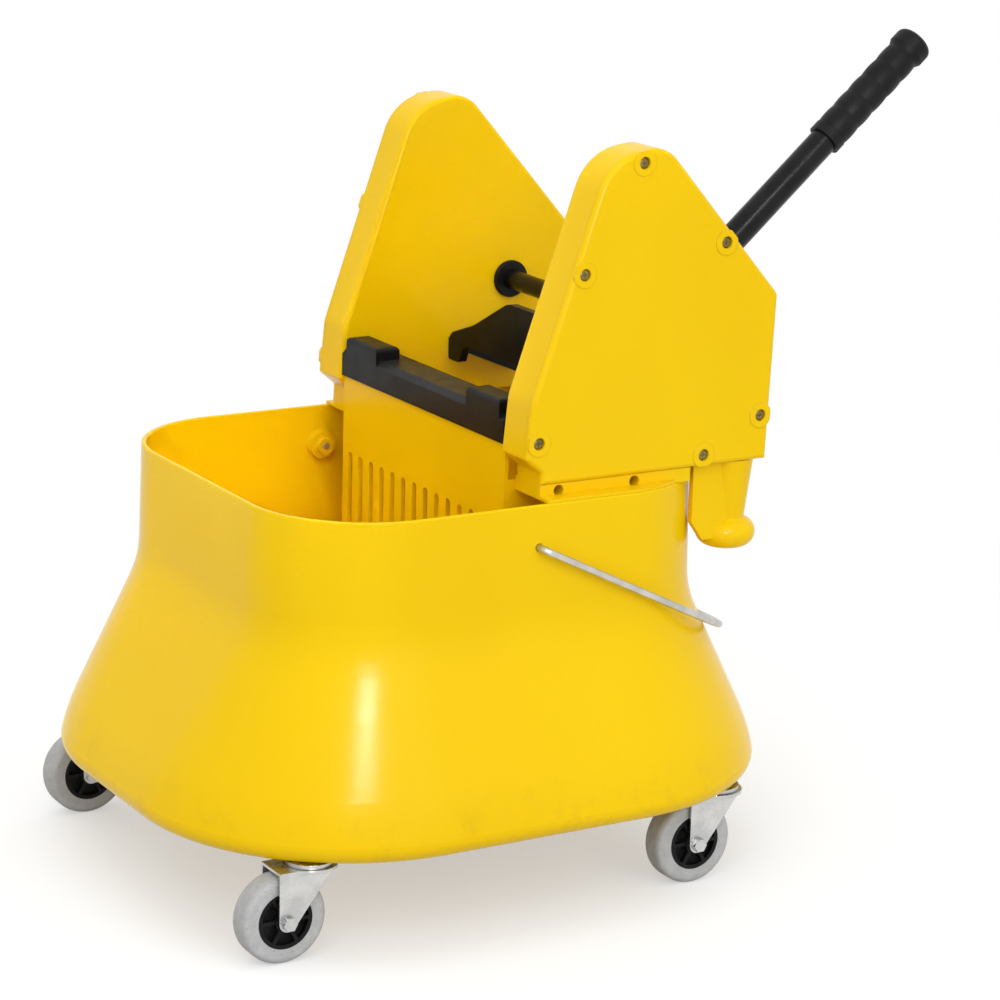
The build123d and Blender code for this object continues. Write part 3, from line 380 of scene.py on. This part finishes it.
class Finish:
    """A material's node tree, with short calls for the nodes that the finishes here share."""

    def __init__(self, name):
        self.material = bpy.data.materials.new(name)
        self.material.use_nodes = True
        self.nodes = self.material.node_tree.nodes
        self.links = self.material.node_tree.links
        self.shader = self.nodes["Principled BSDF"]
        self.coordinates = self.nodes.new("ShaderNodeTexCoord")

    def put(self, socket, value):
        """Join a socket to another node's output, or set it to a constant."""
        if isinstance(value, bpy.types.NodeSocket):
            self.links.new(value, socket)
        else:
            socket.default_value = value

    def set(self, **values):
        """Set the shader's own sockets by name, with _ for a space."""
        for name, value in values.items():
            self.put(self.shader.inputs[name.replace("_", " ")], value)

    def space(self, stretch, turn=(0, 0, 0)):
        """Coordinates in metres, stretched and turned."""
        mapping = self.nodes.new("ShaderNodeMapping")
        mapping.inputs["Scale"].default_value = stretch
        mapping.inputs["Rotation"].default_value = turn
        self.links.new(self.coordinates.outputs["Object"], mapping.inputs["Vector"])
        return mapping.outputs[0]

    def noise(self, scale, detail, roughness=0.55, space=None):
        """Soft clouds of a size, as a number from 0 to 1."""
        node = self.nodes.new("ShaderNodeTexNoise")
        node.inputs["Scale"].default_value = scale
        node.inputs["Detail"].default_value = detail
        node.inputs["Roughness"].default_value = roughness
        self.links.new(space or self.coordinates.outputs["Object"], node.inputs["Vector"])
        return node.outputs["Fac"]

    def cells(self, scale):
        """Distances to scattered points."""
        node = self.nodes.new("ShaderNodeTexVoronoi")
        node.inputs["Scale"].default_value = scale
        self.links.new(self.coordinates.outputs["Object"], node.inputs["Vector"])
        return node.outputs["Distance"]

    def ramp(self, value, low, high, to_low=0.0, to_high=1.0):
        """A number carried smoothly from one span to another."""
        node = self.nodes.new("ShaderNodeMapRange")
        node.interpolation_type = "SMOOTHSTEP"
        node.inputs["From Min"].default_value = low
        node.inputs["From Max"].default_value = high
        node.inputs["To Min"].default_value = to_low
        node.inputs["To Max"].default_value = to_high
        self.links.new(value, node.inputs["Value"])
        return node.outputs["Result"]

    def clouds(self, scale, detail, low, high, to_low=0.0, to_high=1.0, roughness=0.55, space=None):
        """Soft clouds, with the span from low to high carried to another."""
        return self.ramp(self.noise(scale, detail, roughness, space), low, high, to_low, to_high)

    def combine(self, operation, first, second):
        """Two numbers put together."""
        node = self.nodes.new("ShaderNodeMath")
        node.operation = operation
        self.put(node.inputs[0], first)
        self.put(node.inputs[1], second)
        return node.outputs[0]

    def times(self, first, second):
        """Two numbers multiplied."""
        return self.combine("MULTIPLY", first, second)

    def plus(self, first, second):
        """Two numbers added."""
        return self.combine("ADD", first, second)

    def blend(self, share, first, second):
        """One colour laid over another by a share."""
        node = self.nodes.new("ShaderNodeMix")
        node.data_type = "RGBA"
        self.put(node.inputs["Factor"], share)
        self.put(node.inputs["A"], first)
        self.put(node.inputs["B"], second)
        return node.outputs["Result"]

    def vector(self, operation, first, second=None):
        """A vector put together with a constant one, or measured."""
        node = self.nodes.new("ShaderNodeVectorMath")
        node.operation = operation
        self.links.new(first, node.inputs[0])
        if second is not None:
            self.put(node.inputs[1], second)
        return node

    def part(self, vector, axis):
        """One axis of a vector."""
        node = self.nodes.new("ShaderNodeSeparateXYZ")
        self.links.new(vector, node.inputs[0])
        return node.outputs[axis]

    def facing(self):
        """The surface's own direction."""
        return self.nodes.new("ShaderNodeNewGeometry").outputs["Normal"]

    def facing_up(self):
        """How much a face looks up, from -1 to 1."""
        return self.part(self.facing(), "Z")

    def height(self):
        """Height above the floor at rest."""
        return self.part(self.coordinates.outputs["Object"], "Z")

    def soft_edges(self, radius):
        """The surface's direction with its edges rounded over, and how near an edge is, from 0 to 1."""
        rounded = self.nodes.new("ShaderNodeBevel")
        rounded.samples = edge_samples
        rounded.inputs["Radius"].default_value = radius
        agree = self.vector("DOT_PRODUCT", rounded.outputs[0], self.facing())
        return rounded.outputs[0], self.ramp(agree.outputs["Value"], edge_start, edge_full)

    def hollows(self, reach):
        """How shut in a place is, from 0 in the open to 1 in a corner."""
        node = self.nodes.new("ShaderNodeAmbientOcclusion")
        node.samples = hollow_samples
        node.inputs["Distance"].default_value = reach
        return self.ramp(node.outputs["AO"], hollow_start, hollow_full)

    def bump(self, value, depth, strength, over=None):
        """Relief of a depth in metres, over an earlier relief or edge."""
        node = self.nodes.new("ShaderNodeBump")
        node.inputs["Strength"].default_value = strength
        node.inputs["Distance"].default_value = depth
        self.links.new(value, node.inputs["Height"])
        if over is not None:
            self.links.new(over, node.inputs["Normal"])
        return node.outputs[0]


def yellow_plastic():
    """Glossy moulded plastic: flow marks, a fine skin, scuffs, grime near the floor and pale worn edges."""
    look = Finish("yellow_plastic")
    edge_normal, edge = look.soft_edges(radius=0.0012)
    along = look.space(stretch=(1, 1, 0.5))
    flow = look.clouds(scale=5.0, detail=2.0, roughness=0.5, space=along, low=0.3, high=0.7)
    colour = look.blend(flow, yellow_deep, yellow_light)
    speckle = look.clouds(scale=420.0, detail=2.0, low=0.62, high=0.75, to_high=0.35)
    colour = look.blend(speckle, colour, yellow_speck)
    rubbed = look.clouds(scale=60.0, detail=4.0, low=0.4, high=0.7, to_high=0.45)
    colour = look.blend(look.times(edge, rubbed), colour, yellow_rubbed)
    near_floor = look.ramp(look.height(), grime_top, grime_full)
    grime = look.clouds(scale=38.0, detail=5.0, roughness=0.65, low=0.5, high=0.75, to_high=0.2)
    colour = look.blend(look.times(near_floor, grime), colour, yellow_grime)
    across = look.space(stretch=(1, 14, 30), turn=(0.3, 0.2, 0.5))
    scuffs = look.clouds(scale=9.0, detail=6.0, roughness=0.7, space=across, low=0.66, high=0.7, to_high=0.12)
    rough = look.clouds(scale=24.0, detail=3.0, low=0.25, high=0.75, to_low=0.19, to_high=0.26)
    skin = look.bump(look.noise(scale=160.0, detail=2.0), depth=0.00025, strength=0.12, over=edge_normal)
    skin = look.bump(look.noise(scale=1400.0, detail=2.0), depth=0.00005, strength=0.2, over=skin)
    look.set(
        Base_Color=colour,
        Roughness=look.plus(rough, scuffs),
        IOR=yellow_ior,
        Specular_IOR_Level=0.5,
        Normal=skin,
    )
    return look.material


def black_plastic():
    """Satin moulded plastic with a fine spark-eroded grain, dust on top and grey rubbed edges."""
    look = Finish("black_plastic")
    edge_normal, edge = look.soft_edges(radius=0.0012)
    tone = look.clouds(scale=30.0, detail=4.0, low=0.3, high=0.7)
    colour = look.blend(tone, black_deep, plastic_light)
    rubbed = look.clouds(scale=90.0, detail=4.0, low=0.4, high=0.7, to_high=0.5)
    colour = look.blend(look.times(edge, rubbed), colour, plastic_rubbed)
    dust = look.clouds(scale=120.0, detail=5.0, roughness=0.7, low=0.45, high=0.8, to_high=0.3)
    on_top = look.ramp(look.facing_up(), dust_slope_start, dust_slope_full)
    colour = look.blend(look.times(on_top, dust), colour, plastic_dust)
    look.set(
        Base_Color=colour,
        Roughness=look.clouds(scale=45.0, detail=3.0, low=0.25, high=0.75, to_low=0.3, to_high=0.42),
        IOR=plastic_ior,
        Specular_IOR_Level=0.5,
        Normal=look.bump(look.noise(scale=900.0, detail=3.0), depth=0.00012, strength=0.35, over=edge_normal),
    )
    return look.material


def hub_plastic():
    """Black wheel plastic with a fine grain, grey rubbed edges and floor dust in its pockets."""
    look = Finish("hub_plastic")
    edge_normal, edge = look.soft_edges(radius=0.0008)
    tone = look.clouds(scale=70.0, detail=4.0, low=0.3, high=0.7)
    colour = look.blend(tone, black_deep, hub_light)
    dust = look.clouds(scale=180.0, detail=5.0, roughness=0.7, low=0.4, high=0.7, to_high=0.5)
    colour = look.blend(look.times(look.hollows(reach=0.006), dust), colour, hub_dust)
    colour = look.blend(look.times(edge, hub_rubbed_share), colour, hub_rubbed)
    look.set(
        Base_Color=colour,
        Roughness=look.clouds(scale=60.0, detail=3.0, low=0.25, high=0.75, to_low=0.34, to_high=0.48),
        Specular_IOR_Level=0.15,
        Normal=look.bump(look.noise(scale=1000.0, detail=3.0), depth=0.0001, strength=0.3, over=edge_normal),
    )
    return look.material


def grey_tyre():
    """Grey tread: darker where it rolls, with dark specks and fine rings round its axle."""
    look = Finish("grey_tyre")
    centred = look.vector("SUBTRACT", look.coordinates.outputs["Generated"], tyre_middle)
    flat = look.vector("MULTIPLY", centred.outputs[0], tyre_plane)
    radius = look.vector("LENGTH", flat.outputs[0]).outputs["Value"]
    mottled = look.clouds(scale=110.0, detail=5.0, roughness=0.65, low=0.35, high=0.7)
    colour = look.blend(mottled, tyre_deep, tyre_light)
    tread = look.ramp(radius, tread_start, tread_full)
    wear = look.clouds(scale=240.0, detail=5.0, roughness=0.7, low=0.3, high=0.7, to_low=0.2, to_high=0.6)
    colour = look.blend(look.times(tread, wear), colour, tyre_worn)
    specks = look.clouds(scale=520.0, detail=3.0, low=0.64, high=0.72, to_high=0.6)
    colour = look.blend(specks, colour, tyre_speck)
    rings = look.nodes.new("ShaderNodeMath")
    rings.operation = "SINE"
    look.links.new(look.times(radius, tyre_ring_pace), rings.inputs[0])
    skin = look.bump(rings.outputs[0], depth=0.00006, strength=0.25)
    skin = look.bump(look.noise(scale=700.0, detail=4.0), depth=0.00025, strength=0.4, over=skin)
    look.set(
        Base_Color=colour,
        Roughness=look.clouds(scale=80.0, detail=3.0, low=0.25, high=0.75, to_low=0.55, to_high=0.72),
        Specular_IOR_Level=0.35,
        Normal=skin,
    )
    return look.material


def metal(name, dark, light, rough_low, rough_high, streak):
    """Bare or plated steel: drawn streaks, cloudy tone, patches darker in its corners and bright rubbed
    edges.
    """
    look = Finish(name)
    edge_normal, edge = look.soft_edges(radius=0.0008)
    tone = look.clouds(scale=55.0, detail=4.0, roughness=0.6, low=0.3, high=0.7)
    colour = look.blend(tone, dark, light)
    # The colour turns darker, in patches, where the surface is shut in by corners and crevices
    corner_patches = look.clouds(scale=150.0, detail=4.0, low=0.35, high=0.7, to_high=0.6)
    corner_dark = rgb(*[metal_corner_dark_level * channel for channel in dark[:3]])
    colour = look.blend(look.times(look.hollows(reach=0.008), corner_patches), colour, corner_dark)
    bright = rgb(*[min(1.0, metal_edge_level * channel) for channel in light[:3]])
    colour = look.blend(look.times(edge, metal_edge_share), colour, bright)
    lines = look.noise(scale=1.0, detail=4.0, roughness=0.65, space=look.space(stretch=streak))
    relief = look.bump(lines, depth=0.00004, strength=0.25, over=edge_normal)
    relief = look.bump(look.cells(scale=420.0), depth=0.00003, strength=0.2, over=relief)
    look.set(
        Base_Color=colour,
        Metallic=1.0,
        Roughness=look.ramp(lines, low=0.3, high=0.7, to_low=rough_low, to_high=rough_high),
        Normal=relief,
    )
    return look.material


def black_steel():
    """Powder coat: a fine orange peel, small knocks that show grey and rubbed edges."""
    look = Finish("black_steel")
    edge_normal, edge = look.soft_edges(radius=0.001)
    tone = look.clouds(scale=40.0, detail=3.0, low=0.3, high=0.7)
    colour = look.blend(tone, black_deep, coat_light)
    knocks = look.clouds(scale=75.0, detail=6.0, roughness=0.75, low=0.68, high=0.72, to_high=0.5)
    colour = look.blend(knocks, colour, coat_knock)
    rubbed = look.clouds(scale=110.0, detail=4.0, low=0.45, high=0.7, to_high=0.7)
    colour = look.blend(look.times(edge, rubbed), colour, coat_rubbed)
    peel = look.noise(scale=330.0, detail=2.0, roughness=0.4)
    look.set(
        Base_Color=colour,
        Roughness=look.clouds(scale=35.0, detail=3.0, low=0.25, high=0.75, to_low=0.22, to_high=0.34),
        Specular_IOR_Level=0.2,
        Normal=look.bump(peel, depth=0.00025, strength=0.22, over=edge_normal),
    )
    return look.material


def grip_rubber():
    """Soft moulded grip: matt, with a close grain, hand polish and grey dust in its valleys."""
    look = Finish("grip_rubber")
    tone = look.clouds(scale=50.0, detail=4.0, low=0.3, high=0.7)
    colour = look.blend(tone, rubber_deep, rubber_light)
    dust = look.clouds(scale=160.0, detail=4.0, low=0.4, high=0.7, to_high=0.6)
    colour = look.blend(look.times(look.hollows(reach=0.006), dust), colour, rubber_dust)
    look.set(
        Base_Color=colour,
        Roughness=look.clouds(scale=28.0, detail=3.0, low=0.25, high=0.75, to_low=0.4, to_high=0.58),
        Specular_IOR_Level=0.2,
        Normal=look.bump(look.noise(scale=1100.0, detail=3.0), depth=0.00015, strength=0.4),
    )
    return look.material


def make_finishes():
    """One finish for each of the record's material slots."""
    finishes = {
        "yellow_plastic": yellow_plastic(),
        "black_plastic": black_plastic(),
        "hub_plastic": hub_plastic(),
        "grey_tyre": grey_tyre(),
        "black_steel": black_steel(),
        "grip_rubber": grip_rubber(),
    }
    for name, values in metals.items():
        finishes[name] = metal(name, **values)
    return finishes


def dress_nodes(finishes):
    """Give every CAD node the finish of its slot."""
    for entry in frame["record"]["subparts"]:
        node = frame["nodes"][entry["node"]]
        node.data.materials.clear()
        node.data.materials.append(finishes[entry["material_slot"]])


def make_spring(node, finish):
    """A coil of wire in the place of a plain spring sleeve."""
    low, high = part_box(node)
    middle = (low + high) / 2
    radius = (high.x - low.x - spring_wire) / 2
    first = low.y + spring_wire / 2
    rise = high.y - low.y - spring_wire
    curve = bpy.data.curves.new(node + "_coil", "CURVE")
    curve.dimensions = "3D"
    curve.bevel_depth = spring_wire / 2
    curve.bevel_resolution = spring_roundness
    curve.use_fill_caps = True
    spline = curve.splines.new("POLY")
    count = spring_turns * spring_steps + 1
    spline.points.add(count - 1)
    for step in range(count):
        angle = 2 * math.pi * step / spring_steps
        spline.points[step].co = (
            middle.x + radius * math.cos(angle),
            first + rise * step / (count - 1),
            middle.z + radius * math.sin(angle),
            1.0,
        )
    coil = bpy.data.objects.new(node + "_coil", curve)
    scene.collection.objects.link(coil)
    curve.materials.append(finish)
    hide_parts(node)
    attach(coil, "wringer")


make_camera()
make_world()
make_floor()
for lamp_name, lamp_values in lamps.items():
    make_lamp(lamp_name, **lamp_values)
finishes = make_finishes()
dress_nodes(finishes)
for spring in springs:
    make_spring(spring, finishes["spring_steel"])
